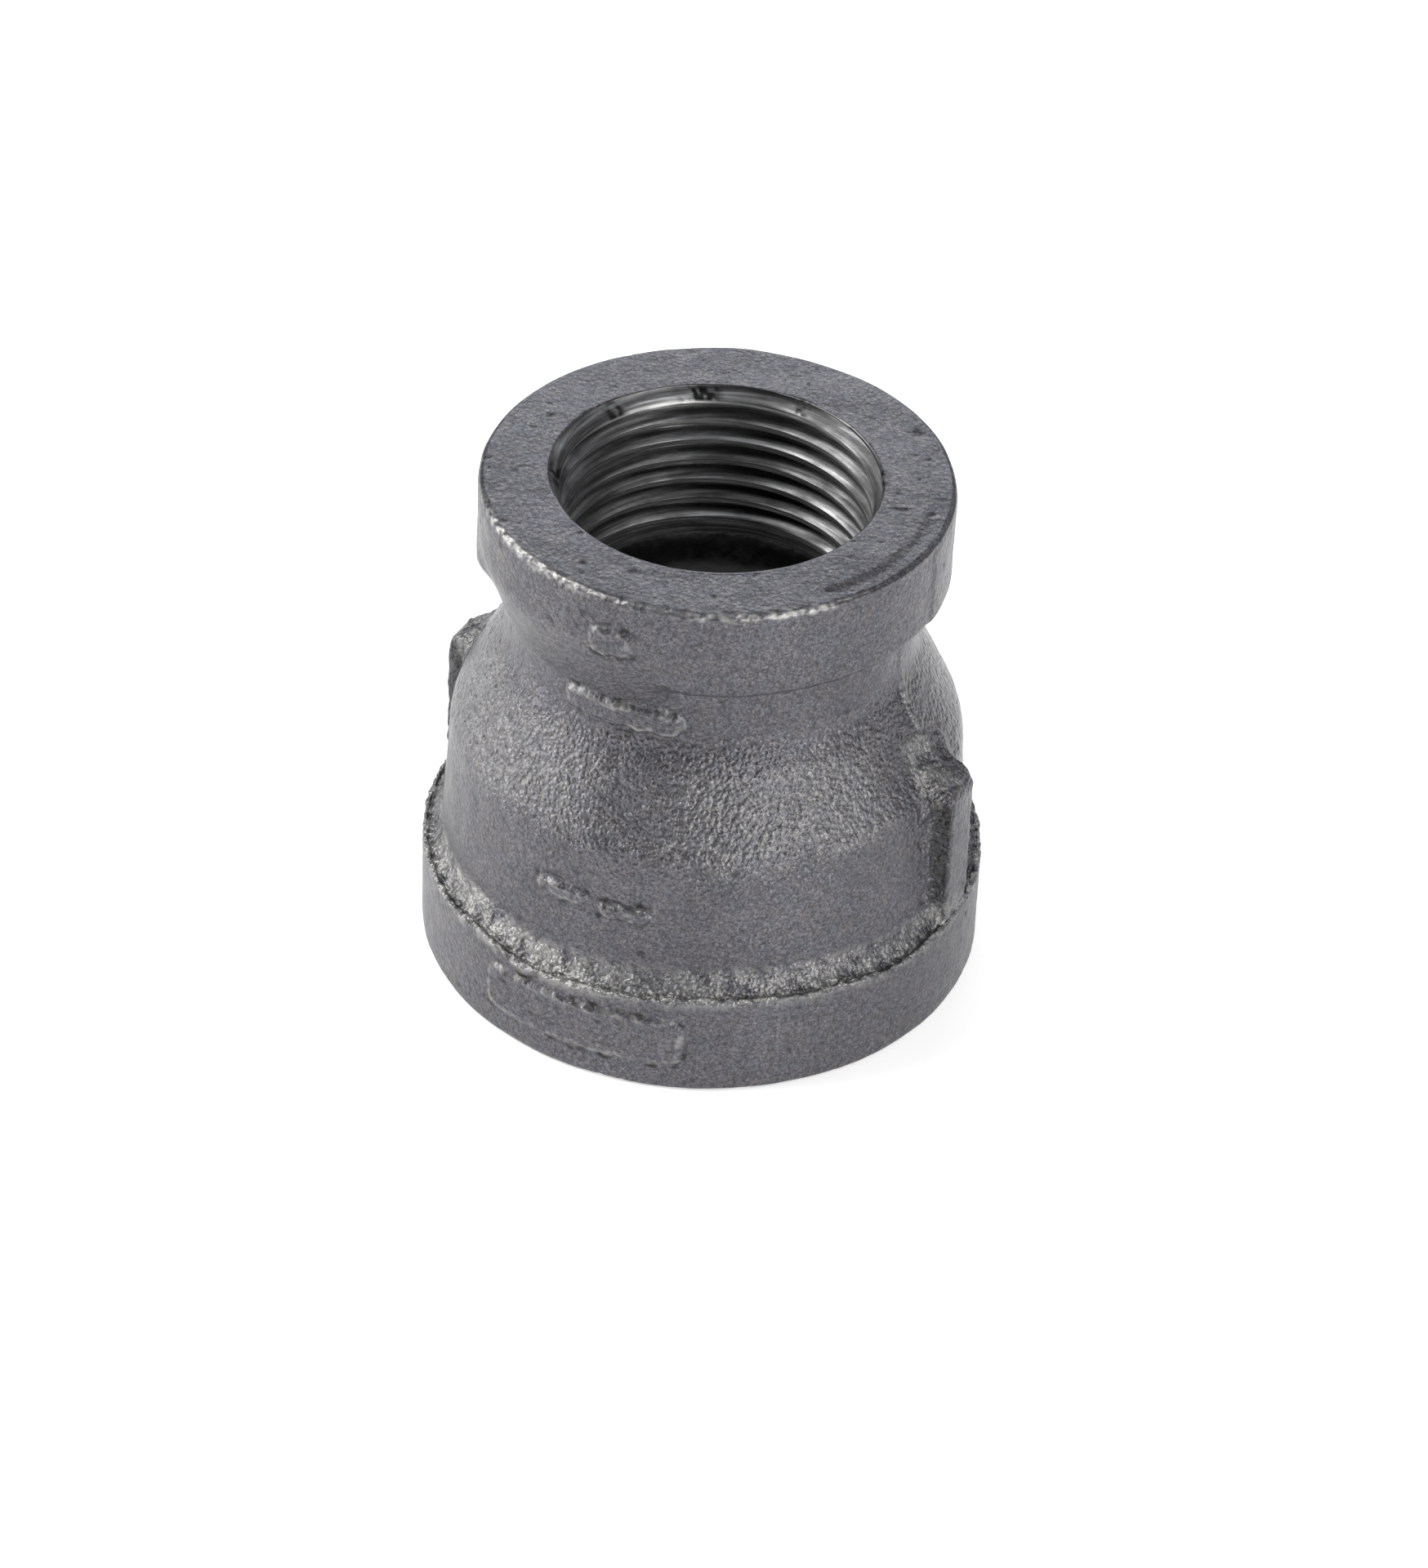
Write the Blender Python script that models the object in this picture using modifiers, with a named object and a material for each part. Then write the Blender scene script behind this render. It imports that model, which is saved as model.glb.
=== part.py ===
"""Concentric reducer: a 1 x 3/4 inch NPT Class 150 malleable iron reducing coupling.

One casting, tapped at both ends. The origin is the centre of the large end's face,
+Z points along the bore towards the small end, and the two wrench ribs lie on +X and -X,
where the halves of the mould met.
"""

import math

import bmesh
import bpy
from mathutils import Matrix, Vector

MM = 0.001
INCH = 0.0254

# Overall size.
LENGTH = 42.9 * MM
SMALL_BAND_RADIUS = 18.4 * MM
SMALL_BAND_HEIGHT = 7.8 * MM
NECK_RADIUS = 16.05 * MM
LARGE_BAND_RADIUS = 22.5 * MM
LARGE_BAND_HEIGHT = 8.65 * MM

# The shoulder between the neck and the lower body.
NECK_END = 29.1 * MM
SHOULDER_RADIUS = 20.3 * MM
SHOULDER_START = 20.5 * MM
BODY_FOOT_RADIUS = 21.2 * MM
BODY_FOOT = 9.0 * MM
UNDERCUT = 0.35 * MM

# Roundings of the cast outline.
BAND_EDGE = 1.0 * MM
BAND_LOWER_EDGE = 0.7 * MM
NECK_TOP_FILLET = 0.8 * MM
NECK_FILLET = 5.0 * MM
SHOULDER_ROUND = 4.5 * MM
FOOT_FILLET = 0.8 * MM
LEDGE_EDGE = 0.45 * MM

# The cored passage between the two threads.
CORE_SMALL_RADIUS = 11.8 * MM
CORE_SMALL_TOP = 28.6 * MM
CORE_SMALL_END = 26.2 * MM
CORE_LARGE_RADIUS = 15.1 * MM
CORE_LARGE_TOP = 20.2 * MM
CORE_LARGE_END = 16.0 * MM
CORE_ROUND = 3.0 * MM

# Taper pipe threads: turns to the inch, pitch diameter at the face, tapped length.
SMALL_THREAD = {"tpi": 14.0, "pitch_diameter": 25.117 * MM, "length": 13.4 * MM}
LARGE_THREAD = {"tpi": 11.5, "pitch_diameter": 31.461 * MM, "length": 15.4 * MM}
SMALL_MOUTH_RADIUS = 12.8 * MM
LARGE_MOUTH_RADIUS = 16.2 * MM
MOUTH_DEPTH = 1.2 * MM
TAPER = 1 / 32
THREAD_HEIGHT = 0.71
FLAT_WIDTH = 0.09
FLANK_SLOPE = math.tan(math.radians(30))
CLEARANCE = 0.1 * MM

# Wrench ribs. Each one's top rises from RIB_TOP at its face towards the body.
RIB_WIDTH = 4.1 * MM
RIB_TOP = 20.9 * MM
RIB_TOP_SLOPE = 0.67
RIB_BASE = 7.6 * MM
RIB_FACE = 22.3 * MM
RIB_ROOT = 18.0 * MM
RIB_TOP_ROUND = 1.6 * MM
RIB_SIDE_ROUND = 0.5 * MM

# How finely the round shapes are cut. An arc under SMALL_ARC takes fewer steps.
SEGMENTS = 40
ARC_STEPS = 3
SMALL_ARC_STEPS = 2
SMALL_ARC = 0.9 * MM
RIB_ROUND_SEGMENTS = 3
SHARP_ANGLE = math.radians(35)
MERGE = 0.000001

IRON_COLOUR = (0.125, 0.122, 0.135, 1.0)
IRON_ROUGHNESS = 0.55
IRON_METALLIC = 0.6


def clear_scene():
    for obj in list(bpy.data.objects):
        bpy.data.objects.remove(obj, do_unlink=True)


def new_collection(name):
    collection = bpy.data.collections.new(name)
    bpy.context.scene.collection.children.link(collection)
    return collection


def cast_iron():
    material = bpy.data.materials.new("cast_iron")
    material.use_nodes = True
    shader = material.node_tree.nodes["Principled BSDF"]
    shader.inputs["Base Color"].default_value = IRON_COLOUR
    shader.inputs["Roughness"].default_value = IRON_ROUGHNESS
    shader.inputs["Metallic"].default_value = IRON_METALLIC
    return material


def new_object(name, mesh, collection):
    obj = bpy.data.objects.new(name, mesh)
    collection.objects.link(obj)
    return obj


def rounded(corners):
    """The outline through corners of (radius, height, rounding), each rounding as an arc."""
    points = []
    count = len(corners)
    for index, (radius, height, rounding) in enumerate(corners):
        corner = Vector((radius, height))
        if rounding == 0:
            points.append(corner)
            continue
        before = (Vector(corners[index - 1][:2]) - corner).normalized()
        after = (Vector(corners[(index + 1) % count][:2]) - corner).normalized()
        half_angle = before.angle(after) / 2
        reach = rounding / math.tan(half_angle)
        centre = corner + (before + after).normalized() * rounding / math.sin(half_angle)
        start = corner + before * reach - centre
        sweep = (corner + after * reach - centre).angle_signed(start)
        steps = SMALL_ARC_STEPS if rounding < SMALL_ARC else ARC_STEPS
        for step in range(steps + 1):
            points.append(centre + Matrix.Rotation(sweep * step / steps, 2) @ start)
    return points


def crest_radius(thread, depth):
    """The radius of the thread's crests at a depth below the end's face."""
    pitch = INCH / thread["tpi"]
    return thread["pitch_diameter"] / 2 - THREAD_HEIGHT * pitch / 2 - depth * TAPER


def turned_outline():
    """The casting's section, down its outer side and up its bore."""
    underside = LENGTH - SMALL_BAND_HEIGHT
    outer = [
        (SMALL_BAND_RADIUS, LENGTH, BAND_EDGE),
        (SMALL_BAND_RADIUS, underside, BAND_LOWER_EDGE),
        (NECK_RADIUS, underside - UNDERCUT, NECK_TOP_FILLET),
        (NECK_RADIUS, NECK_END, NECK_FILLET),
        (SHOULDER_RADIUS, SHOULDER_START, SHOULDER_ROUND),
        (BODY_FOOT_RADIUS, BODY_FOOT, FOOT_FILLET),
        (LARGE_BAND_RADIUS, LARGE_BAND_HEIGHT, LEDGE_EDGE),
        (LARGE_BAND_RADIUS, 0, BAND_EDGE),
    ]
    large_end = LARGE_THREAD["length"]
    small_end = LENGTH - SMALL_THREAD["length"]
    bore = [
        (LARGE_MOUTH_RADIUS, 0, 0),
        (crest_radius(LARGE_THREAD, MOUTH_DEPTH), MOUTH_DEPTH, 0),
        (crest_radius(LARGE_THREAD, large_end), large_end, 0),
        (CORE_LARGE_RADIUS, CORE_LARGE_END, 0),
        (CORE_LARGE_RADIUS, CORE_LARGE_TOP, CORE_ROUND),
        (CORE_SMALL_RADIUS, CORE_SMALL_END, CORE_ROUND),
        (CORE_SMALL_RADIUS, CORE_SMALL_TOP, 0),
        (crest_radius(SMALL_THREAD, SMALL_THREAD["length"]), small_end, 0),
        (crest_radius(SMALL_THREAD, MOUTH_DEPTH), LENGTH - MOUTH_DEPTH, 0),
        (SMALL_MOUTH_RADIUS, LENGTH, 0),
    ]
    return rounded(outer + bore)


def turned_body(collection):
    outline = turned_outline()
    verts = [(radius, 0, height) for radius, height in outline]
    edges = [(index, (index + 1) % len(verts)) for index in range(len(verts))]
    mesh = bpy.data.meshes.new("reducer_body")
    mesh.from_pydata(verts, edges, [])
    body = new_object("reducer_body", mesh, collection)
    screw = body.modifiers.new("turn", "SCREW")
    screw.steps = SEGMENTS
    screw.render_steps = SEGMENTS
    screw.use_merge_vertices = True
    screw.merge_threshold = MERGE
    return body


def thread_cutter(name, thread, mouth, inward, collection):
    """The groove of a right-handed taper thread, from a turn outside the mouth at height
    mouth. inward is +1 where the bore runs up from its mouth and -1 where it runs down."""
    pitch = INCH / thread["tpi"]
    crest = crest_radius(thread, 0)
    height = THREAD_HEIGHT * pitch
    root_half = FLAT_WIDTH * pitch / 2
    crest_half = root_half + height * FLANK_SLOPE
    start = mouth - inward * pitch
    mouth_half = crest_half + CLEARANCE * FLANK_SLOPE
    section = [
        (crest - CLEARANCE, -mouth_half),
        (crest + height, -root_half),
        (crest + height, root_half),
        (crest - CLEARANCE, mouth_half),
    ]
    bm = bmesh.new()
    ring = [bm.verts.new((radius, 0, start + rise)) for radius, rise in section]
    bm.faces.new(ring)
    turns = thread["length"] / pitch + 1
    steps = round(turns * SEGMENTS)
    bmesh.ops.spin(
        bm,
        geom=bm.verts[:] + bm.edges[:] + bm.faces[:],
        axis=(0, 0, 1),
        dvec=(0, 0, inward * pitch / SEGMENTS),
        angle=inward * 2 * math.pi * steps / SEGMENTS,
        steps=steps,
        use_duplicate=False,
    )
    for vert in bm.verts:
        depth = inward * (vert.co.z - mouth)
        left = thread["length"] - depth
        run_out = max(0, 1 - max(0, left) / (pitch / 2)) * (height + CLEARANCE)
        flat = vert.co.to_2d()
        flat *= 1 - (depth * TAPER + run_out) / flat.length
        vert.co.x, vert.co.y = flat
    # Half a segment round, so that no edge of the coil meets an edge of the bore.
    half_segment = Matrix.Rotation(math.pi / SEGMENTS, 3, "Z")
    bmesh.ops.rotate(bm, verts=bm.verts, matrix=half_segment)
    bmesh.ops.recalc_face_normals(bm, faces=bm.faces)
    mesh = bpy.data.meshes.new(name)
    bm.to_mesh(mesh)
    bm.free()
    return new_object(name, mesh, collection)


def bevel(bm, edges, radius):
    bmesh.ops.bevel(
        bm,
        geom=edges,
        offset=radius,
        segments=RIB_ROUND_SEGMENTS,
        profile=0.5,
        affect="EDGES",
    )


def rib(name, turn, collection):
    """One wrench rib, on the +X side of the body and then turned about the bore's axis."""
    bm = bmesh.new()
    bmesh.ops.create_cube(bm, size=1)
    size = (RIB_FACE - RIB_ROOT, RIB_WIDTH, RIB_TOP - RIB_BASE)
    centre = ((RIB_FACE + RIB_ROOT) / 2, 0, (RIB_TOP + RIB_BASE) / 2)
    bmesh.ops.scale(bm, verts=bm.verts, vec=size)
    bmesh.ops.translate(bm, verts=bm.verts, vec=centre)
    for vert in bm.verts:
        if vert.co.z > centre[2]:
            vert.co.z += (RIB_FACE - vert.co.x) * RIB_TOP_SLOPE

    def on_face(edge):
        return all(vert.co.x > centre[0] for vert in edge.verts)

    def on_top(edge):
        return all(vert.co.z > centre[2] for vert in edge.verts)

    def upright(edge):
        return edge.verts[0].co.z != edge.verts[1].co.z

    brow = [edge for edge in bm.edges if on_face(edge) and on_top(edge)]
    bevel(bm, brow, RIB_TOP_ROUND)
    flanks = [edge for edge in bm.edges if on_face(edge) and upright(edge)]
    bevel(bm, flanks, RIB_SIDE_ROUND)
    bmesh.ops.rotate(bm, verts=bm.verts, matrix=Matrix.Rotation(turn, 3, "Z"))
    mesh = bpy.data.meshes.new(name)
    bm.to_mesh(mesh)
    bm.free()
    return new_object(name, mesh, collection)


def boolean(body, name, operation, other):
    modifier = body.modifiers.new(name, "BOOLEAN")
    modifier.operation = operation
    modifier.solver = "EXACT"
    modifier.object = other
    other.display_type = "WIRE"
    other.hide_render = True


def bake_modifiers(obj):
    """Makes the evaluated mesh the object's own, smooth but for its sharp edges."""
    graph = bpy.context.evaluated_depsgraph_get()
    mesh = bpy.data.meshes.new_from_object(obj.evaluated_get(graph))
    mesh.shade_smooth()
    mesh.set_sharp_from_angle(angle=SHARP_ANGLE)
    obj.modifiers.clear()
    obj.data = mesh


def build():
    clear_scene()
    parts = new_collection("concentric_reducer")
    cutters = new_collection("cutters")
    body = turned_body(parts)
    body.data.materials.append(cast_iron())
    boolean(body, "rib_right", "UNION", rib("rib_right", 0, cutters))
    boolean(body, "rib_left", "UNION", rib("rib_left", math.pi, cutters))
    small = thread_cutter("small_thread", SMALL_THREAD, LENGTH, -1, cutters)
    large = thread_cutter("large_thread", LARGE_THREAD, 0, 1, cutters)
    boolean(body, "small_thread", "DIFFERENCE", small)
    boolean(body, "large_thread", "DIFFERENCE", large)
    bake_modifiers(body)


build()
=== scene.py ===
"""The looks of a cast iron concentric reducer: a 1 x 3/4 inch NPT reducing coupling.

One dense closed mesh stands for the casting: the sand-cast outside with its two bands,
shoulder, wrench ribs, parting line and raised pads, the two helical taper threads with
their mouth chamfers, and the cored passage between them. Lengths in this script are in
millimetres, and MM turns them into metres when the mesh and the scene are made.
"""

import itertools
import math

import bpy
import numpy as np
from mathutils import Matrix, Vector


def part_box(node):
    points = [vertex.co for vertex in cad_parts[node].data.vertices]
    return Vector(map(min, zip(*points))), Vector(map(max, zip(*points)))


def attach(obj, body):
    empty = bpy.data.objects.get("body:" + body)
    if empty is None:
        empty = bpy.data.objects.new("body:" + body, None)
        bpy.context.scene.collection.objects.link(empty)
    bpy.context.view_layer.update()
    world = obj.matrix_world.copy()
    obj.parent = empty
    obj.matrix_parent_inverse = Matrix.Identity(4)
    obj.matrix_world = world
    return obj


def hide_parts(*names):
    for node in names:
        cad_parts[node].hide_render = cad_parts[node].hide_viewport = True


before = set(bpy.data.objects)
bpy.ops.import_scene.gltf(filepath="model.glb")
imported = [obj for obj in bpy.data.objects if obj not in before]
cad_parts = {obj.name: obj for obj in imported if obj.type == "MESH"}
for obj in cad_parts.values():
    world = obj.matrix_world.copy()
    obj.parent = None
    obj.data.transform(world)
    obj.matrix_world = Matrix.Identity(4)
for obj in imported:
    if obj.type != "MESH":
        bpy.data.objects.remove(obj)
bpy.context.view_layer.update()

MM = 0.001
INCH = 25.4

# Overall size, from the frame.
LOW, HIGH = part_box("reducer_body")
LENGTH = (HIGH[2] - LOW[2]) / MM
LARGE_BAND_RADIUS = (HIGH[0] - LOW[0]) / 2 / MM

# The casting's outline, as in the CAD model, with finer roundings.
SMALL_BAND_RADIUS = 18.4
SMALL_BAND_UNDERSIDE = LENGTH - 7.8
NECK_RADIUS = 16.05
NECK_END = 29.1
NECK_ROUNDING = 5.0
SHOULDER_RADIUS = 20.3
SHOULDER_START = 20.5
SHOULDER_ROUNDING = 4.5
FOOT_RADIUS = 20.95
FOOT = 9.8
FOOT_ROUNDING = 3.5
CREASE_RADIUS = 21.98
CREASE = 8.6
LIP_RADIUS = 22.2
LARGE_BAND_TOP = 8.75
LIP_DROP = 0.12
RIM_ROUNDING = 0.5
LARGE_RIM_ROUNDING = 0.6

# The cored passage between the two threads.
CORE_SMALL_RADIUS = 11.8
CORE_LARGE_RADIUS = 15.1
CORE_CORNERS = [16.0, 20.2, 26.2, 28.6]

# Taper pipe threads, whose crests and roots lie this far from the pitch line, in pitches.
TAPER = 1 / 32
CREST_DEPTH = 0.25
ROOT_DEPTH = 0.355
MOUTH_DEPTH = 1.25
# Where the thread runs out into the bore, in pitches from its inner end.
RUN_OUT = (0.15, 1.4)
# One turn of the thread's form: how far along the pitch, and how deep from crest to root.
HALF_FORM = [
    (0.0, 0.0), (0.088, 0.0), (0.106, 0.012), (0.124, 0.042), (0.19, 0.225), (0.28, 0.48),
    (0.37, 0.74), (0.44, 0.945), (0.47, 0.99), (0.5, 1.0),
]
THREAD_FORM = HALF_FORM + [(1 - phase, depth) for phase, depth in HALF_FORM[-2:0:-1]]

# Wrench ribs, on +X and -X, where the halves of the mould met.
RIB_HALF_WIDTH = 2.05
RIB_FACE = 22.35
RIB_BASE = 7.0
RIB_TOP = 20.9
RIB_TOP_SLOPE = 0.67
RIB_TOP_ROUND = 1.5
RIB_EDGE = 0.45
RIB_SIDE_WANDER = 0.13
RIB_TOP_WANDER = 0.3
RIB_WALL = 0.5
RIB_FILLET = 2.4
# The noises on the ribs' edges are read round a cylinder of about the body's radius:
# how far apart their blobs are, and their seeds.
RIB_NOISE_RADIUS = 20
RIB_SIDE_NOISE = (1.3, 11)
RIB_TOP_NOISE = (1.6, 12)
# The shares of a rib's height that are left below its rounded edge and below its wall.
BROW_SHARE = 0.85
FILLET_SHARE = 0.28

# How finely the mesh is cut: columns round the axis, and the steps between its rows.
COLUMNS = 720
RIB_COLUMN_GAIN = 2.2
ROW_STEP = 0.17
FINE_STEPS = 20000
CREASE_ROW_GAIN = 1.6
RIM_ROW_GAIN = 1.2
CORE_ROW_STEP = 0.35
# Rows this close to an end's height lie in its face.
HAIR = 0.001

# The middle of the marked side, which is the camera's, as an angle from +X in degrees.
FRONT = -65.8


def thread(tpi, pitch_diameter, length, mouth_radius, inward):
    """A tapped end. inward is +1 where the bore runs up from its mouth, -1 where down."""
    pitch = INCH / tpi
    return {
        "pitch": pitch,
        "crest": pitch_diameter / 2 - CREST_DEPTH * pitch,
        "height": (CREST_DEPTH + ROOT_DEPTH) * pitch,
        "length": length,
        "mouth_radius": mouth_radius,
        "mouth": 0.0 if inward > 0 else LENGTH,
        "inward": inward,
    }


SMALL_THREAD = thread(14.0, 25.117, 13.4, 12.75, -1)
LARGE_THREAD = thread(11.5, 31.461, 15.4, 16.3, 1)


def smoothstep(low, high, x):
    t = np.clip((x - low) / (high - low), 0, 1)
    return t * t * (3 - 2 * t)


def bell(x, width):
    """1 where x is 0, fading to nothing in about twice the width."""
    return np.exp(-((x / width) ** 2))


# Mixing numbers for the noise's lattice, and the scale that brings it to about -1 to 1.
LATTICE_MIX = np.array([73856093, 19349663, 83492791])
SEED_MIX = 2654435761
SCRAMBLE = 1274126177
LOW_31_BITS = 0x7FFFFFFF
SEED_SHIFT = 17.13
NOISE_GAIN = 1.7


def noise(points, cell, seed):
    """Gradient noise from about -1 to 1 at each point, with blobs a cell apart."""
    place = points / cell + seed * SEED_SHIFT
    base = np.floor(place).astype(np.int64)
    part = place - base
    ease = part**3 * (part * (part * 6 - 15) + 10)
    total = np.zeros(len(points))
    for corner in itertools.product((0, 1), repeat=3):
        lattice = base + corner
        mixed = lattice @ LATTICE_MIX + seed * SEED_MIX
        mixed = (mixed ^ (mixed >> 13)) * SCRAMBLE & LOW_31_BITS
        mixed = mixed ^ (mixed >> 16)
        dot = np.zeros(len(points))
        weight = np.ones(len(points))
        for axis in range(3):
            gradient = ((mixed >> (axis * 9)) & 511) / 255.5 - 1
            dot += gradient * (part[:, axis] - corner[axis])
            side = ease[:, axis] if corner[axis] else 1 - ease[:, axis]
            weight *= side
        total += dot * weight
    return total * NOISE_GAIN


def arc_corners(corners):
    """The outline through corners of (radius, height, rounding), with fine round arcs."""
    points = [Vector(corners[0][:2])]
    for index in range(1, len(corners) - 1):
        corner = Vector(corners[index][:2])
        rounding = corners[index][2]
        before = (Vector(corners[index - 1][:2]) - corner).normalized()
        after = (Vector(corners[index + 1][:2]) - corner).normalized()
        half_angle = before.angle(after) / 2
        centre = corner + (before + after).normalized() * rounding / math.sin(half_angle)
        start = corner + before * rounding / math.tan(half_angle) - centre
        end = corner + after * rounding / math.tan(half_angle) - centre
        sweep = end.angle_signed(start)
        steps = max(4, round(abs(sweep) * rounding / ROW_STEP * 2))
        for step in range(steps + 1):
            points.append(centre + Matrix.Rotation(sweep * step / steps, 2) @ start)
    points.append(Vector(corners[-1][:2]))
    return np.array(points)


def resampled(points, step_at, rows=None):
    """Points along the same line, step_at(radius, height) apart, or rows of them."""
    lengths = np.linalg.norm(np.diff(points, axis=0), axis=1)
    along = np.concatenate([[0], np.cumsum(lengths)])
    fine = np.linspace(0, along[-1], FINE_STEPS)
    radius = np.interp(fine, along, points[:, 0])
    height = np.interp(fine, along, points[:, 1])
    density = 1 / step_at(radius, height)
    count = np.concatenate([[0], np.cumsum((density[1:] + density[:-1]) / 2)])
    count *= fine[1] - fine[0]
    wanted = np.linspace(0, count[-1], rows or round(count[-1]) + 1)
    place = np.interp(wanted, count, fine)
    return np.stack([np.interp(place, along, points[:, k]) for k in (0, 1)], axis=1)


def outside_rows(band_underside, rows=None):
    """The outline from the small mouth over the outside to the large mouth."""
    corners = [
        (SMALL_THREAD["mouth_radius"], LENGTH, 0),
        (SMALL_BAND_RADIUS, LENGTH, RIM_ROUNDING),
        *band_underside,
        (NECK_RADIUS, NECK_END, NECK_ROUNDING),
        (SHOULDER_RADIUS, SHOULDER_START, SHOULDER_ROUNDING),
        (FOOT_RADIUS, FOOT, FOOT_ROUNDING),
        (CREASE_RADIUS, CREASE, 0.08),
        (LIP_RADIUS, LARGE_BAND_TOP, 0.12),
        (LARGE_BAND_RADIUS, LARGE_BAND_TOP - LIP_DROP, 0.25),
        (LARGE_BAND_RADIUS, 0, LARGE_RIM_ROUNDING),
        (LARGE_THREAD["mouth_radius"], 0, 0),
    ]

    def step_at(radius, height):
        crease = bell(height - CREASE, 0.5)
        top_edge = bell(height - LENGTH + 0.2, 0.3) * (radius > SMALL_BAND_RADIUS - 0.9)
        return ROW_STEP / (1 + CREASE_ROW_GAIN * crease + RIM_ROW_GAIN * top_edge)

    return resampled(arc_corners(corners), step_at, rows)


CRISP_UNDERSIDE = [
    (SMALL_BAND_RADIUS, SMALL_BAND_UNDERSIDE, 0.9),
    (NECK_RADIUS, SMALL_BAND_UNDERSIDE - 0.35, 1.0),
]
# The band runs more softly into the neck on one side of the front.
SOFT_UNDERSIDE = [(SMALL_BAND_RADIUS, 37.9, 6.0), (NECK_RADIUS, 31.6, 4.0)]

# Where the small band's underside is the soft one: degrees from the front, and the fade.
SOFT_SIDE = (-72, -16, 12)
# The ledge above the large band isn't level: degrees from the front, rise.
LEDGE_WANDER = [
    (-85, 0.0), (-66, -0.35), (-50, 0.1), (-37, -0.5), (-26, -0.2), (-15, 0.0),
    (2, 0.35), (33, 0.1), (46, -0.4), (60, 0.0),
]
LEDGE_REACH = 1.6


def column_angles():
    """The angles of the mesh's columns, closer together at the ribs' sides."""
    fine = np.linspace(0, 2 * math.pi, FINE_STEPS + 1)
    offset = np.abs(np.sin(fine)) * LARGE_BAND_RADIUS
    near_edge = bell(offset - RIB_HALF_WIDTH - RIB_WALL / 2, 0.7)
    density = 1 + RIB_COLUMN_GAIN * near_edge
    count = np.concatenate([[0], np.cumsum((density[1:] + density[:-1]) / 2)])
    wanted = np.arange(COLUMNS) / COLUMNS * count[-1]
    return np.interp(wanted, count, fine)


ANGLES = column_angles()


def from_front(angle):
    """Degrees round from the middle of the marked side, -180 to 180."""
    return (np.degrees(angle) - FRONT + 180) % 360 - 180


def window(x, start, end, fade):
    """1 between start and end, fading out over fade past them."""
    return smoothstep(start - fade, start, x) * smoothstep(end + fade, end, x)


def ledge_wander(front):
    """How far the ledge above the large band rises or sinks there."""
    return np.interp(front, *np.array(LEDGE_WANDER).T)


def rib_share(past):
    """How much of a rib's height is left, past its side's edge by so much."""
    edge = np.clip((past + RIB_EDGE) / RIB_EDGE, 0, 1)
    brow = 1 - (1 - BROW_SHARE) * (1 - np.sqrt(1 - edge**2))
    wall = BROW_SHARE - (BROW_SHARE - FILLET_SHARE) * np.clip(past / RIB_WALL, 0, 1)
    run_out = np.clip(1 - (past - RIB_WALL) / (RIB_FILLET - RIB_WALL), 0, 1)
    fillet = FILLET_SHARE * run_out**2
    return np.where(past < 0, brow, np.where(past < RIB_WALL, wall, fillet))


def with_ribs(radius, height, angle):
    """The outside radius once the wrench ribs stand on it."""
    around = RIB_NOISE_RADIUS * np.stack([np.cos(angle), np.sin(angle)], axis=1)
    ragged = np.column_stack([around, height + 0 * angle])
    side_wander = RIB_SIDE_WANDER * noise(ragged, *RIB_SIDE_NOISE)
    top_wander = RIB_TOP_WANDER * noise(ragged, *RIB_TOP_NOISE)
    across = np.abs(np.sin(angle)) * LARGE_BAND_RADIUS + side_wander
    slope = RIB_FACE - (height + top_wander - RIB_TOP) / RIB_TOP_SLOPE
    overlap = np.maximum(RIB_TOP_ROUND - np.abs(slope - RIB_FACE), 0)
    face = np.minimum(slope, RIB_FACE) - overlap**2 / (4 * RIB_TOP_ROUND)
    proud = np.maximum(face - radius, 0) * rib_share(across - RIB_HALF_WIDTH)
    return np.where(height > RIB_BASE, radius + proud, radius)


def thread_radius(end, depth, angle):
    """The tapped bore's radius at a depth below its mouth."""
    pitch = end["pitch"]
    turn = depth / pitch - end["inward"] * angle / (2 * math.pi)
    phase, form = np.array(THREAD_FORM).T
    share = np.interp(turn % 1.0, phase, form, period=1.0)
    left = end["length"] - depth
    run_out = smoothstep(*RUN_OUT, left / pitch)
    crest = end["crest"] - depth * TAPER
    threaded = crest + end["height"] * share * run_out
    mouth_slope = (end["mouth_radius"] - end["crest"]) / MOUTH_DEPTH
    chamfer = end["mouth_radius"] - depth * mouth_slope
    return np.maximum(threaded, chamfer)


class Surface:
    """Vertices in rings and lines, and the faces between them."""

    def __init__(self):
        self.points = []
        self.faces = []
        self.kinds = []
        self.crests = []
        self.count = 0

    def add(self, radius, height, angle, crest=False):
        """New vertices, and their indices."""
        radius = np.broadcast_to(radius, angle.shape)
        height = np.broadcast_to(height, angle.shape)
        spot = np.stack([radius * np.cos(angle), radius * np.sin(angle), height], axis=1)
        self.points.append(spot)
        self.crests.append(np.broadcast_to(crest, angle.shape))
        self.count += len(spot)
        return np.arange(self.count - len(spot), self.count)

    def join(self, ring, following, kind):
        """Quads from one ring to the next."""
        first = np.roll(ring, -1)
        second = np.roll(following, -1)
        quads = np.stack([ring, following, second, first], axis=1)
        self.faces.extend(quads.tolist())
        self.kinds.extend([kind] * len(quads))


CAST, MACHINED, CORED = 0, 1, 2


# Turns of the thread's form that are tried past both ends of a thread, how much of a
# line's spacing stays free there, and how far past the crest's radius a crest may lie.
SPARE_TURNS = 2
END_MARGIN = 0.3
CREST_SLACK = 0.1


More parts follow.
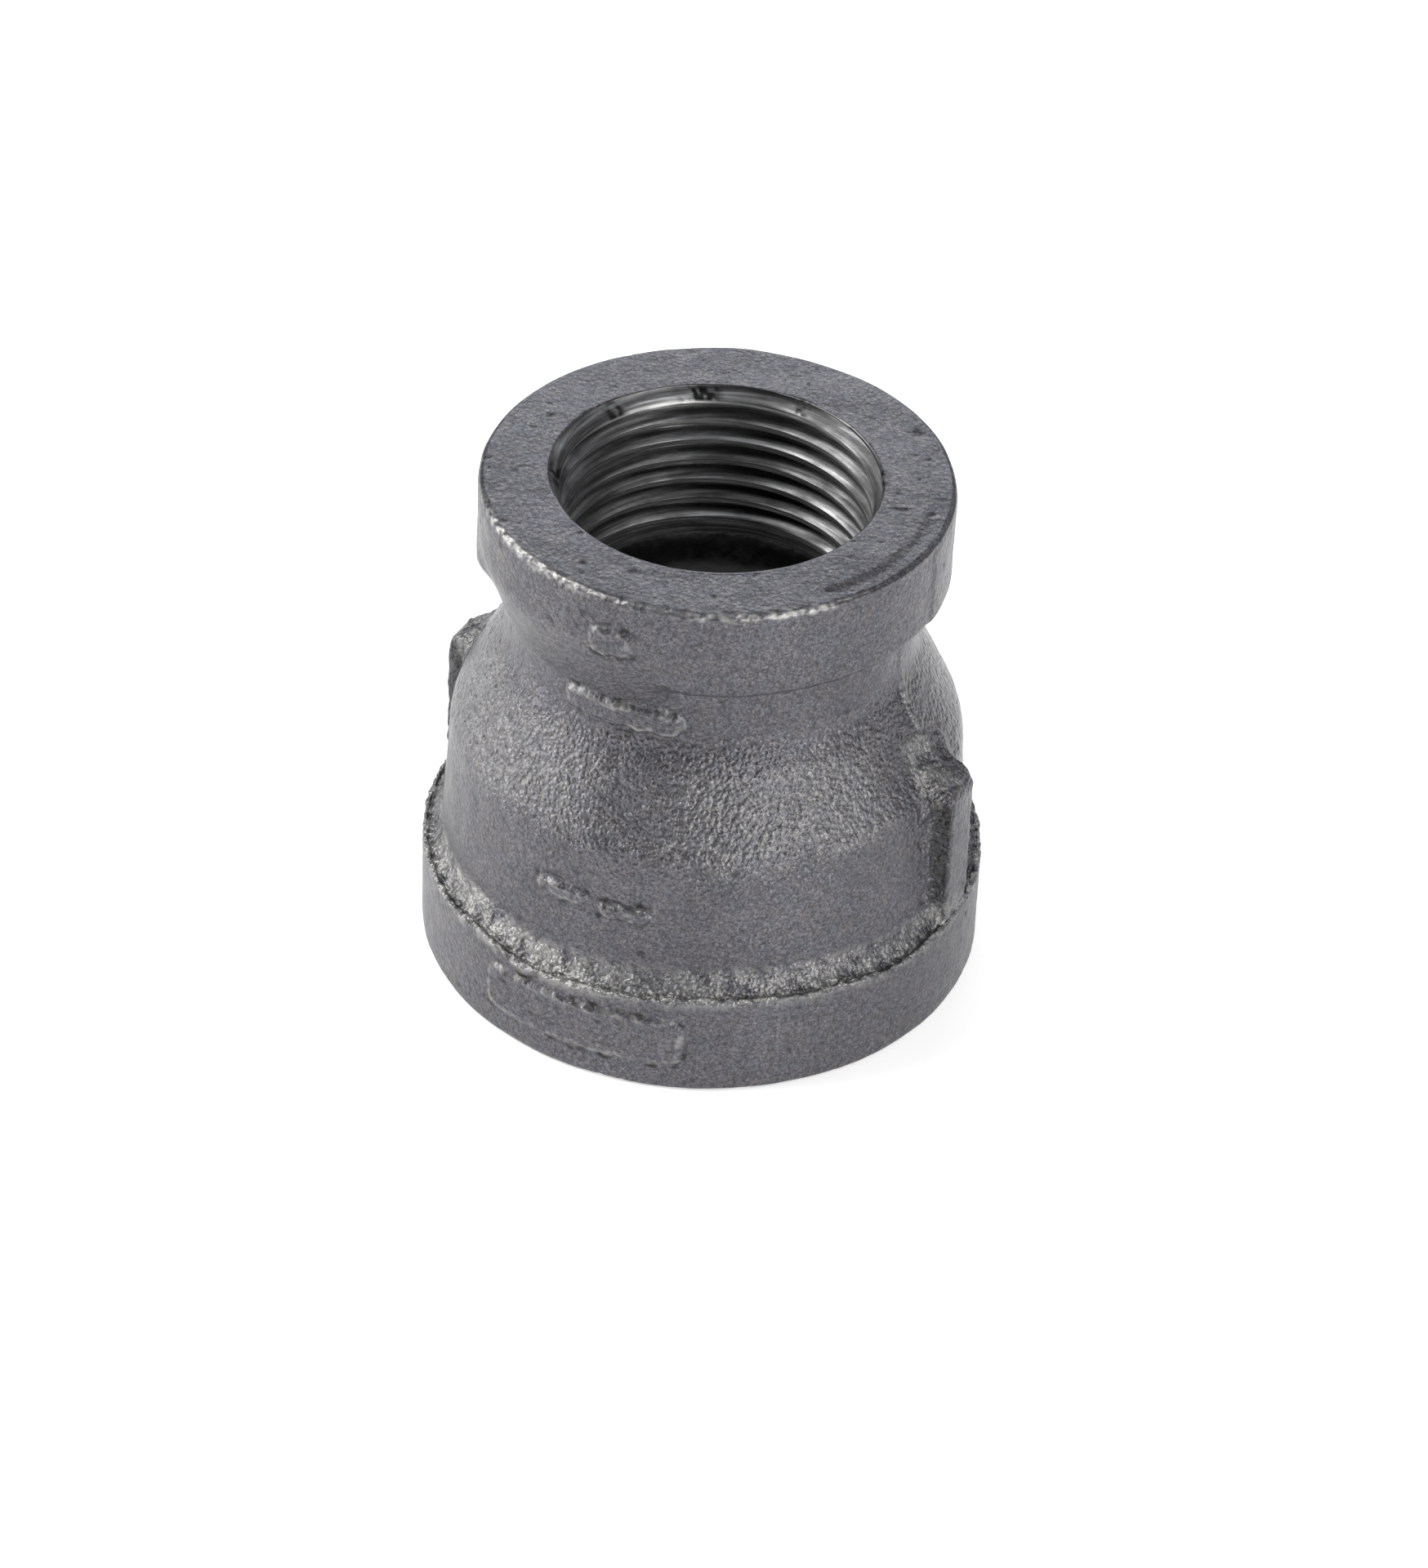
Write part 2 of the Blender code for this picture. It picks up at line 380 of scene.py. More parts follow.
def thread_lines(end, angle):
    """The helical lines of the thread that cross a column, as (numbers, depths)."""
    per_turn = len(THREAD_FORM)
    phases = np.array([phase for phase, depth in THREAD_FORM])
    turns = math.ceil(end["length"] / end["pitch"]) + SPARE_TURNS
    numbers = np.arange(-SPARE_TURNS * per_turn, turns * per_turn)
    place = numbers // per_turn + phases[numbers % per_turn]
    depths = end["pitch"] * (place + end["inward"] * angle / (2 * math.pi))
    margin = END_MARGIN * end["pitch"] / per_turn
    inside = (depths > margin) & (depths < end["length"] - margin)
    return numbers[inside], depths[inside]


def add_thread(surface, end, mouth_ring, deep_ring):
    """The tapped wall, on lines that follow the helix, between its two end rings."""
    chains = []
    for angle in ANGLES:
        numbers, depths = thread_lines(end, angle)
        around = np.full(len(depths), angle)
        radius = thread_radius(end, depths, around)
        height = end["mouth"] + end["inward"] * depths
        crest = (numbers % len(THREAD_FORM) == 0) & (radius < end["crest"] + CREST_SLACK)
        made = surface.add(radius, height, around, crest)
        chains.append((numbers[0], made.tolist()))
    per_turn = len(THREAD_FORM)
    for column in range(COLUMNS):
        first, line = chains[column]
        next_column = (column + 1) % COLUMNS
        next_first, next_line = chains[next_column]
        if next_column == 0:
            next_first -= end["inward"] * per_turn
        start = max(first, next_first)
        stop = min(first + len(line), next_first + len(next_line))
        here = [mouth_ring[column]] + line[: start - first + 1]
        there = [mouth_ring[next_column]] + next_line[: start - next_first + 1]
        polygons = [here + there[::-1]]
        for number in range(start, stop - 1):
            a, b = number - first, number - next_first
            polygons.append([line[a], line[a + 1], next_line[b + 1], next_line[b]])
        here = line[stop - 1 - first :] + [deep_ring[column]]
        there = next_line[stop - 1 - next_first :] + [deep_ring[next_column]]
        polygons.append(here + there[::-1])
        if end["inward"] < 0:
            polygons = [polygon[::-1] for polygon in polygons]
        surface.faces.extend(polygons)
        surface.kinds.extend([MACHINED] * len(polygons))


def give_way(radius, rim, mouth, opening):
    """How far a face's row moves out where the thread's groove breaks through its mouth."""
    return (opening - mouth) * max(0, (rim - radius) / (rim - mouth)) ** 4


def build_surface():
    """The whole closed surface, round its section: outside, large end, core, small end."""
    surface = Surface()
    crisp = outside_rows(CRISP_UNDERSIDE)
    soft = outside_rows(SOFT_UNDERSIDE, len(crisp))
    front = from_front(ANGLES)
    softness = window(front, *SOFT_SIDE)
    wander = ledge_wander(front)
    small_mouth = thread_radius(SMALL_THREAD, 0.0, ANGLES)
    large_mouth = thread_radius(LARGE_THREAD, 0.0, ANGLES)
    rings = []
    for (radius, height), (soft_radius, soft_height) in zip(crisp, soft):
        at = radius + softness * (soft_radius - radius)
        up = height + softness * (soft_height - height)
        up = up + wander * bell(height - CREASE, LEDGE_REACH)
        at = with_ribs(at, up, ANGLES)
        if height > LENGTH - HAIR:
            at = at + give_way(radius, SMALL_BAND_RADIUS, crisp[0][0], small_mouth)
        if height < HAIR:
            at = at + give_way(radius, LARGE_BAND_RADIUS, crisp[-1][0], large_mouth)
        rings.append(surface.add(at, up, ANGLES))
    for ring, following in zip(rings, rings[1:]):
        surface.join(ring, following, CAST)

    small_deep = SMALL_THREAD["crest"] - SMALL_THREAD["length"] * TAPER
    large_deep = LARGE_THREAD["crest"] - LARGE_THREAD["length"] * TAPER
    core = [
        (large_deep, LARGE_THREAD["length"], 0),
        (CORE_LARGE_RADIUS, CORE_CORNERS[0], 0.3),
        (CORE_LARGE_RADIUS, CORE_CORNERS[1], 3.0),
        (CORE_SMALL_RADIUS, CORE_CORNERS[2], 3.0),
        (CORE_SMALL_RADIUS, CORE_CORNERS[3], 0.5),
        (small_deep, LENGTH - SMALL_THREAD["length"], 0),
    ]
    core_rows = resampled(arc_corners(core), lambda radius, height: CORE_ROW_STEP + 0 * radius)
    core_rings = [surface.add(radius, height, ANGLES) for radius, height in core_rows]
    for ring, following in zip(core_rings, core_rings[1:]):
        surface.join(ring, following, CORED)
    add_thread(surface, LARGE_THREAD, rings[-1], core_rings[0])
    add_thread(surface, SMALL_THREAD, rings[0], core_rings[-1])
    return surface


# Blank raised pads in place of the casting's marks: degrees from the front, height, half
# length, half height, corner rounding, how proud.
PADS = [
    (-24.0, 4.8, 8.6, 2.1, 1.1, 0.3),
    (-24.0, 30.8, 4.9, 1.05, 0.9, 0.45),
    (-24.0, 38.8, 1.7, 1.2, 0.9, 0.25),
    (-31.0, 15.7, 2.2, 0.6, 0.55, 0.4),
    (-16.0, 15.3, 2.0, 0.6, 0.55, 0.4),
]
PAD_SLOPE = 0.22

# Dark smears of oil and scale round the small mouth: degrees from the front, half width
# in degrees, how far they reach over the face from the mouth.
SMEARS = [
    (-172, 8, 0.5), (-138, 4, 0.5), (-90, 7, 0.5), (-60, 3, 0.25),
    (59, 4, 0.35), (90, 4, 0.5), (97, 5, 0.3), (150, 3, 0.3),
]
SMEAR_DEPTH = 1.1

# The skin's noises: how far apart their blobs are, and their seeds.
NOISES = {
    "swell": (7.0, 1), "ripple": (2.4, 2), "patch": (4.0, 3), "pit": (1.0, 5),
    "pad_wobble": (0.9, 21), "pad_fray": (0.45, 22), "speck": (0.45, 31), "crumb": (0.75, 32),
    "lump": (1.2, 33), "seam_wobble": (2.0, 34), "shade_blotch": (0.9, 35), "moat_blotch": (1.1, 36),
    "crest_glint": (3.0, 38),
}

# How deep the skin's features are.
SWELL_DEPTH = 0.06
RIPPLE_DEPTH = 0.03
CRUMB_DEPTH = 0.026
SPECK_DEPTH = 0.016
LUMP_DEPTH = 0.11
PIT_DEPTH = 0.07
SEAM_DEPTH = 0.04
SHOULDER_SEAM_DEPTH = 0.12
MISMATCH = 0.07
CHIP_DEPTH = 0.08
PRESSED_DEPTH = 0.12
RAGGED_DEPTH = 0.16
CORED_CRUMB_DEPTH = 0.05

# Where they are: start, end and fade. Heights are above the large end's face, and
# sides are in degrees from the front.
SANDY_HEIGHTS = (19.5, 27.5, 2.5)
SHOULDER_HIGHLIGHT_HEIGHTS = (21.5, 26, 2.5)
SEAM_HEIGHTS = (21.5, LENGTH - 1, 0.6)
SHOULDER_HEIGHTS = (20.5, 28, 2)
RIB_SIDE_HEIGHTS = (9, 22, 1.5)
RIB_SHADE_HEIGHTS = (9.5, 20.5, 0.8)
RIB_ROOT_HEIGHTS = (20.5, 24.5, 0.8)
RIB_SIDE_ACROSS = (2.0, 3.4, 0.6)
RIB_SHADE_ACROSS = (2.1, 2.5, 0.3)
FOOT_OVER_CREASE = (0.0, 1.6, 1.0)
MARKED_SIDE = (-115, 66, 3)
CHIPPED_AND_HIGHLIT_SIDE = (-75, 34, 8)
RIM_HIGHLIGHT_SIDES = [(-68, -36, 6), (-2, 28, 6)]
PRESSED_SIDE = (34, 78, 10)
SHOULDER_HIGHLIGHT_SIDE = (-85, 42, 15)
SHOULDER_HIGHLIGHT_PATCHES = [(-80, -36, 14), (0, 38, 12)]
FOOT_HIGHLIGHT_SIDE = (-70, -30, 15)


# Where the noises show as spots: nothing at the first number, all of it at the second.
PIT_SPOTS = (0.55, 0.9)
PIT_DARK_SPOTS = (0.65, 0.95)
GLINT_SPOTS = (-0.8, 0.6)
SHADE_BLOTCH_SPOTS = (-0.5, 0.6)
SEAM_SPOTS = (-0.1, 0.6)
RIM_HIGHLIGHT_SPOTS = (-0.6, 0.4)
LIP_SPOTS = (-0.4, 0.4)
CREASE_SHADE_SPOTS = (-0.6, 0.1)
SHOULDER_HIGHLIGHT_SPOTS = (-0.2, 0.8)
PAD_SPOTS = (-0.2, 0.5)
MOAT_SPOTS = (0.0, 0.5)
SMEAR_SPOTS = (-0.35, 0.1)

# How much bare iron and painted highlight shows there, from 0 to 1, and how much more
# on the brightest sides.
FOOT_HIGHLIGHT = 0.36
FOOT_EXTRA_HIGHLIGHT = 0.26
RIB_ROOT_HIGHLIGHT = 0.4
SEAM_SHINE = 0.4
RIM_HIGHLIGHT = 0.35
RIM_EXTRA_HIGHLIGHT = 0.45
LIP_SHINE = 0.7
SHOULDER_HIGHLIGHT_SHARE = 0.4
SHOULDER_PATCH_HIGHLIGHT_SHARE = 0.6
SHOULDER_HIGHLIGHT = 0.08
SHOULDER_SPOT_HIGHLIGHT = 0.28
PAD_SHINE = 0.45
CREST_HIGHLIGHT = 0.5
CREST_HIGHLIGHT_RANGE = 0.4

# How dark the pits and the ribs' painted shade are, from 0 to 1.
PIT_DARKENING = 0.6
RIB_SIDE_SHADE = 0.45
RIB_WALL_SHADE = 0.85

# How coarse the sand is, where it is 1 above the ledge, and how sandy the smooth skin is.
RIB_SIDE_COARSENESS = 0.9
RIB_ROOT_COARSENESS = 1.2
COARSE_GRAIN_GAIN = 1.5
SMOOTH_SKIN = 0.4
RIM_SMOOTHING = 0.2
RIM_SMOOTH_HEIGHTS = (LENGTH - 0.6, LENGTH - 0.2)

# Limits of the coarse places, and widths of the edges, ridges and bands, in millimetres.
FOOT_LEAST_RADIUS = 20.2
RIB_ROOT_ACROSS = 3.0
RIB_ROOT_MOST_RADIUS = 21.5
SEAM_WIDTH = 0.28
MISMATCH_WIDTH = 0.3
PRESSED_RADII = (16.2, 17.2)
CHIP_REACH = (0.75, 0.1)
RIM_HIGHLIGHT_REACH = (0.6, 0.2)
RIM_HIGHLIGHT_EXTRA_REACH = 0.2
RAGGED_WIDTH = 0.5
LIP_REACH = (0.45, 0.12)
CREASE_SHADE_REACH = (0.4, 0.12)
BRINK = (-0.35, 0.1, 0.15)
MOAT = (0.15, 0.45, 0.2)


class Skin:
    """What sand, shrinkage, rubbing and dirt do to the casting's points, and where light and
    shade are painted on them. It gathers how far each one moves along its normal, and the
    attributes that the materials read: bare iron and painted highlights, dirt and painted
    shade, and sandy where grains stand out."""

    def __init__(self, points, normals, kinds):
        self.points = points
        self.normals = normals
        self.radius = np.hypot(points[:, 0], points[:, 1])
        self.height = points[:, 2]
        self.off_plane = points[:, 1]
        self.front = from_front(np.arctan2(points[:, 1], points[:, 0]))
        self.wander = ledge_wander(self.front)
        self.outside = kinds == CAST
        self.cored = kinds == CORED
        self.noise = {name: noise(points, *settings) for name, settings in NOISES.items()}
        self.crumb = self.noise["crumb"]
        self.speck = self.noise["speck"]
        self.wave = SWELL_DEPTH * self.noise["swell"] + RIPPLE_DEPTH * self.noise["ripple"]
        self.marked_side = window(self.front, *MARKED_SIDE)
        self.move = np.zeros(len(points))
        self.wear_and_highlight = np.zeros(len(points))
        self.dirt_and_shade = np.zeros(len(points))
        self.sandy = np.zeros(len(points))

    def raise_by(self, amount):
        self.move = self.move + amount

    # Bare iron, and painted highlights, both mixed in here towards the bright colour.
    def brighten(self, amount):
        self.wear_and_highlight = np.maximum(self.wear_and_highlight, amount)

    # Dirt, and painted shade, both mixed in here towards the dark colour.
    def darken(self, amount):
        self.dirt_and_shade = np.maximum(self.dirt_and_shade, amount)

    def add_grain(self):
        """Sandy grain, coarser above the ledge and round the ribs. Painted highlights glint on
        the foot and the ribs' roots, and painted shade darkens the ribs' walls and fillets.
        """
        across = np.abs(self.off_plane)
        over_ledge = self.height - self.wander - CREASE
        foot = window(over_ledge, *FOOT_OVER_CREASE) * self.outside
        foot = foot * (self.radius > FOOT_LEAST_RADIUS)
        rib_side = window(across, *RIB_SIDE_ACROSS) * window(self.height, *RIB_SIDE_HEIGHTS)
        rib_side = rib_side * self.outside
        rib_root = window(self.height, *RIB_ROOT_HEIGHTS) * (across < RIB_ROOT_ACROSS)
        rib_root = rib_root * (self.radius < RIB_ROOT_MOST_RADIUS) * self.outside
        coarse = np.maximum(foot, RIB_SIDE_COARSENESS * rib_side)
        coarse = np.maximum(coarse, RIB_ROOT_COARSENESS * rib_root)

        uneven_height = self.height + 1.2 * self.noise["patch"]
        sandy = SMOOTH_SKIN + (1 - SMOOTH_SKIN) * window(uneven_height, *SANDY_HEIGHTS)
        sandy = sandy - RIM_SMOOTHING * smoothstep(*RIM_SMOOTH_HEIGHTS, self.height)
        self.sandy = np.maximum(sandy, coarse)
        grain = CRUMB_DEPTH * self.crumb + SPECK_DEPTH * self.speck
        self.raise_by(self.outside * grain * self.sandy * (1 + COARSE_GRAIN_GAIN * coarse))
        self.raise_by(self.outside * (self.wave + LUMP_DEPTH * coarse * self.noise["lump"]))

        # Painted highlights in glinting spots: on the foot over the ledge and on the ribs'
        # roots, on the camera's side.
        glint = smoothstep(*GLINT_SPOTS, 0.6 * self.speck + self.noise["lump"])
        bright = FOOT_HIGHLIGHT + FOOT_EXTRA_HIGHLIGHT * window(self.front, *FOOT_HIGHLIGHT_SIDE)
        self.brighten(bright * foot * self.marked_side * glint)
        self.brighten(RIB_ROOT_HIGHLIGHT * rib_root * self.marked_side * glint)
        # Painted shade on the camera's side of the ribs: blotchy on the fillets beside them,
        # dark on their walls.
        shade_blotches = smoothstep(*SHADE_BLOTCH_SPOTS, self.noise["shade_blotch"])
        self.darken(RIB_SIDE_SHADE * rib_side * shade_blotches * self.marked_side)
        wall = window(across, *RIB_SHADE_ACROSS) * window(self.height, *RIB_SHADE_HEIGHTS)
        dark = RIB_WALL_SHADE * wall * (0.8 + 0.2 * self.crumb)
        self.darken(dark * self.outside * self.marked_side)

    def add_pits(self):
        pit = self.noise["pit"]
        self.raise_by(-PIT_DEPTH * self.outside * smoothstep(*PIT_SPOTS, pit))
        # Darker colour in the deepest pits.
        self.darken(PIT_DARKENING * self.outside * smoothstep(*PIT_DARK_SPOTS, pit))

    def add_parting_line(self):
        """The thin ridge where the mould's halves met, and the step between them."""
        on_side = window(self.height, *SEAM_HEIGHTS) * (np.abs(self.normals[:, 2]) < 0.9)
        on_shoulder = window(self.height, *SHOULDER_HEIGHTS)
        wobble = 0.2 * self.noise["seam_wobble"]
        ridge = bell(self.off_plane + wobble, SEAM_WIDTH) * on_side
        seam = ridge * (SEAM_DEPTH + SHOULDER_SEAM_DEPTH * on_shoulder)
        self.raise_by(self.outside * seam * (1 + 0.9 * self.crumb))
        step = np.tanh(self.off_plane / MISMATCH_WIDTH) * np.sign(self.points[:, 0])
        self.raise_by(self.outside * MISMATCH * on_side * step)
        spots = smoothstep(*SEAM_SPOTS, self.speck + self.crumb)
        self.brighten(SEAM_SHINE * ridge * on_shoulder * spots)

    def add_rim(self):
        """The small band's top edge: chips and a painted highlight across the front, and
        pressed flat to one side.
        """
        edge = np.hypot(self.radius - SMALL_BAND_RADIUS, self.height - LENGTH)
        chipped_and_highlit = window(self.front, *CHIPPED_AND_HIGHLIT_SIDE)
        chips = smoothstep(*CHIP_REACH, edge) * chipped_and_highlit * (0.6 + self.crumb + self.speck)
        on_top = (self.normals[:, 2] > 0.5) & (self.height > LENGTH - 1)
        pressed = window(self.front, *PRESSED_SIDE) * smoothstep(*PRESSED_RADII, self.radius)
        sunk = CHIP_DEPTH * chips + PRESSED_DEPTH * pressed * on_top
        self.raise_by(-sunk * self.outside)
        # Painted highlight along the top edge across the front, broader and brighter on two
        # stretches.
        rim_highlit = np.maximum(*(window(self.front, *side) for side in RIM_HIGHLIGHT_SIDES))
        shine = (RIM_HIGHLIGHT + RIM_EXTRA_HIGHLIGHT * rim_highlit) * smoothstep(*RIM_HIGHLIGHT_SPOTS, self.speck)
        outer, inner = RIM_HIGHLIGHT_REACH
        outer = outer + RIM_HIGHLIGHT_EXTRA_REACH * rim_highlit
        self.brighten(shine * chipped_and_highlit * smoothstep(outer, inner, edge + 0.25 * self.crumb))

    def add_ledge(self):
        """The ragged crease above the large band, darkened with painted shade, and the bright
        lip below it.
        """
        over_ledge = self.height - self.wander - CREASE
        crease = np.hypot(self.radius - CREASE_RADIUS, over_ledge)
        ragged = bell(crease, RAGGED_WIDTH) * (0.7 * self.crumb + self.speck)
        self.raise_by(self.outside * RAGGED_DEPTH * ragged)
        lip = np.hypot(self.radius - LIP_RADIUS, self.height - self.wander - LARGE_BAND_TOP)
        bare = smoothstep(*LIP_REACH, lip) * smoothstep(*LIP_SPOTS, self.crumb)
        self.brighten(LIP_SHINE * bare)
        # Painted shade in the crease, on the camera's side.
        dark = smoothstep(*CREASE_SHADE_REACH, crease + 0.12 * self.crumb)
        self.darken(dark * smoothstep(*CREASE_SHADE_SPOTS, self.speck) * self.marked_side)

    def paint_shoulder_highlights(self):
        """Painted highlights on the shoulder's grains, most of them in two patches."""
        patches = np.maximum(*(window(self.front, *side) for side in SHOULDER_HIGHLIGHT_PATCHES))
        share = SHOULDER_HIGHLIGHT_SHARE + SHOULDER_PATCH_HIGHLIGHT_SHARE * patches
        uneven_height = self.height + 20 * self.wave
        place = window(self.front, *SHOULDER_HIGHLIGHT_SIDE) * window(uneven_height, *SHOULDER_HIGHLIGHT_HEIGHTS)
        spots = smoothstep(*SHOULDER_HIGHLIGHT_SPOTS, self.speck + 0.5 * self.crumb)
        shine = SHOULDER_HIGHLIGHT + SHOULDER_SPOT_HIGHLIGHT * spots
        self.brighten(share * place * self.outside * shine)

    def pad_distance(self, degrees, middle, half_long, half_high, rounding):
        """How far outside a pad's ragged outline each point is. Inside it, it is negative."""
        along = np.abs(np.radians(self.front - degrees) * self.radius) - half_long + rounding
        up = np.abs(self.height - middle) - half_high + rounding
        corner = np.hypot(np.maximum(along, 0), np.maximum(up, 0))
        away = corner + np.minimum(np.maximum(along, up), 0) - rounding
        return away + 0.16 * self.noise["pad_wobble"] + 0.1 * self.noise["pad_fray"]

    def add_pad(self, *outline, proud):
        """A raised pad, brighter in spots along its edges and darker round its foot."""
        away = self.pad_distance(*outline)
        raised = smoothstep(PAD_SLOPE, -PAD_SLOPE, away) * self.outside
        self.raise_by(proud * raised * (1 + 0.25 * self.crumb))
        brink = window(away, *BRINK) * self.outside
        spots = smoothstep(*PAD_SPOTS, self.speck + 0.3 * self.crumb)
        self.brighten(PAD_SHINE * brink * spots)
        moat = window(away, *MOAT) * self.outside
        self.darken(moat * smoothstep(*MOAT_SPOTS, self.noise["moat_blotch"]))

    def add_smear(self, degrees, half_width, reach):
        turn = np.abs((self.front - degrees + 180) % 360 - 180)
        near = smoothstep(1.3, 0.5, turn / half_width) * (self.height > LENGTH - SMEAR_DEPTH)
        past_mouth = self.radius - SMALL_THREAD["mouth_radius"] + 0.35 * self.crumb
        out = smoothstep(reach + 0.15, reach - 0.25, past_mouth)
        self.darken(near * out * smoothstep(*SMEAR_SPOTS, self.crumb + 0.5 * self.speck))

    def finish_bore(self, crests):
        """The cored passage, darkened with painted shade, and painted highlights on the
        threads' crests.
        """
        self.raise_by(self.cored * (2.2 * self.wave + CORED_CRUMB_DEPTH * self.crumb))
        # Painted shade: the whole cored passage is darkened to near black.
        self.darken(self.cored)
        self.sandy = self.sandy * (1 - 0.9 * self.cored)
        # Painted highlights along the threads' crests.
        self.brighten(crests * (CREST_HIGHLIGHT + CREST_HIGHLIGHT_RANGE * self.noise["crest_glint"]))

    def moved(self):
        """The points after all of it. The large end's face stays on the floor."""
        moved = self.points + self.normals * self.move[:, None]
        moved[:, 2] = np.maximum(moved[:, 2], 0)
        return moved


def weathered(points, normals, kinds, crests):
    """The casting's skin. crests is 1 on the threads' crests."""
    skin = Skin(points, normals, kinds)
    skin.add_grain()
    skin.add_pits()
    skin.add_parting_line()
    skin.add_rim()
    skin.add_ledge()
    skin.paint_shoulder_highlights()
    for *outline, proud in PADS:
        skin.add_pad(*outline, proud=proud)
    for smear in SMEARS:
        skin.add_smear(*smear)
    skin.finish_bore(crests)
    return skin


def build_casting():
    """The casting as one closed mesh, cast faces in slot 0 and machined ones in slot 1."""
    surface = build_surface()
    points = np.concatenate(surface.points)
    mesh = bpy.data.meshes.new("reducer_casting")
    mesh.from_pydata(points * MM, [], surface.faces)
    face_kinds = np.array(surface.kinds)
    sizes = np.array([len(face) for face in surface.faces])
    corner_points = np.fromiter(itertools.chain.from_iterable(surface.faces), np.int64)
    kinds = np.full(len(points), CAST)
    for kind in (CORED, MACHINED):
        kinds[corner_points[np.repeat(face_kinds == kind, sizes)]] = kind
    normals = np.empty(len(points) * 3, np.float32)
    mesh.vertex_normals.foreach_get("vector", normals)
    crests = np.concatenate(surface.crests).astype(float)
    skin = weathered(points, normals.reshape(-1, 3), kinds, crests)
    mesh.vertices.foreach_set("co", (skin.moved() * MM).astype(np.float32).ravel())
    for name in ("wear_and_highlight", "dirt_and_shade", "sandy"):
        attribute = mesh.attributes.new(name, "FLOAT", "POINT")
        attribute.data.foreach_set("value", getattr(skin, name).astype(np.float32))
    mesh.polygons.foreach_set("material_index", (face_kinds == MACHINED).astype(np.int32))
    mesh.shade_smooth()
    mesh.update()
    casting = bpy.data.objects.new("reducer_casting", mesh)
    bpy.context.scene.collection.objects.link(casting)
    return casting


class Nodes:
    """A material's node tree, with its nodes made and linked in single calls."""

    def __init__(self, name):
        self.material = bpy.data.materials.new(name)
        self.material.use_nodes = True
        self.tree = self.material.node_tree
        self.shader = self.tree.nodes["Principled BSDF"]
        coordinates = self.tree.nodes.new("ShaderNodeTexCoord")
        self.place = coordinates.outputs["Object"]

    def link(self, source, socket):
        self.tree.links.new(source, socket)

    def node(self, kind, **settings):
        made = self.tree.nodes.new(kind)
        for name, value in settings.items():
            setattr(made, name, value)
        return made

    def scaled(self, scale):
        """The object's own coordinates, in millimetres, stretched by scale."""
        mapping = self.node("ShaderNodeMapping")
        mapping.inputs["Scale"].default_value = [s / MM for s in scale]
        self.link(self.place, mapping.inputs["Vector"])
        return mapping.outputs["Vector"]

    def noise(self, size, detail=2.0, scale=(1, 1, 1), roughness=0.5):
        """Noise whose blobs are about size millimetres across."""
        texture = self.node("ShaderNodeTexNoise")
        texture.inputs["Scale"].default_value = 1 / size
        texture.inputs["Detail"].default_value = detail
        texture.inputs["Roughness"].default_value = roughness
        self.link(self.scaled(scale), texture.inputs["Vector"])
        return texture.outputs["Fac"]

    def grains(self, size):
        """Rounded grains about size millimetres across, 0 in their middles."""
        texture = self.node("ShaderNodeTexVoronoi", feature="F1")
        texture.inputs["Scale"].default_value = 1 / size
        texture.inputs["Randomness"].default_value = 1.0
        self.link(self.scaled((1, 1, 1)), texture.inputs["Vector"])
        return texture.outputs["Distance"]

    def attribute(self, name):
        return self.node("ShaderNodeAttribute", attribute_name=name).outputs["Fac"]

    def ramp(self, factor, stops):
        """factor mapped through (position, colour or value) stops."""
        ramp = self.node("ShaderNodeValToRGB")
        elements = ramp.color_ramp.elements
        while len(elements) < len(stops):
            elements.new(0.5)
        for element, (position, value) in zip(elements, stops):
            element.position = position
            colour = (value,) * 3 if isinstance(value, (int, float)) else value
            element.color = (*colour, 1)
        self.link(factor, ramp.inputs["Fac"])
        return ramp.outputs["Color"]

    def mix(self, blend, factor, first, second):
        mixer = self.node("ShaderNodeMix", data_type="RGBA", blend_type=blend)
        for socket, value in zip((0, 6, 7), (factor, first, second)):
            if isinstance(value, bpy.types.NodeSocket):
                self.link(value, mixer.inputs[socket])
            elif socket == 0:
                mixer.inputs[socket].default_value = value
            else:
                mixer.inputs[socket].default_value = (*value, 1)
        return mixer.outputs[2]

    def bump(self, height, distance, after=None, strength=None):
        """A bump of distance millimetres, on top of an earlier one."""
        bump = self.node("ShaderNodeBump")
        bump.inputs["Distance"].default_value = distance * MM
        if strength is not None:
            self.link(strength, bump.inputs["Strength"])
        self.link(height, bump.inputs["Height"])
        if after is not None:
            self.link(after, bump.inputs["Normal"])
        return bump.outputs["Normal"]


# Colours of the dirt and painted shade, the scale, and the bare iron and painted
# highlights, dark to bright.
DARK_DIRT_AND_SHADE = (0.011, 0.010, 0.010)
OILY_DIRT = (0.012, 0.012, 0.012)
VIOLET_SCALE = (0.091, 0.086, 0.094)
BLUE_SCALE = (0.081, 0.082, 0.097)
DULL_CUT = (0.10, 0.10, 0.105)
BRIGHT_CUT = (0.30, 0.305, 0.31)
BARE_IRON_AND_HIGHLIGHT = (0.33, 0.33, 0.32)
CREST_HIGHLIGHT_COLOUR = (0.55, 0.55, 0.55)


# Sizes of the cast skin's patterns and depths of its bumps, in millimetres.
GRAIN_SIZE = 0.42
GRIT_SIZE = 0.2
DUST_SIZE = 0.11
MOTTLE_SIZE = 1.3
BLOTCH_SIZE = 6.0
GRAIN_BUMP = 0.12
GRIT_BUMP = 0.09
TOOL_BUMP = 0.03
CAST_METALLIC = 0.6
CUT_METALLIC = 0.85


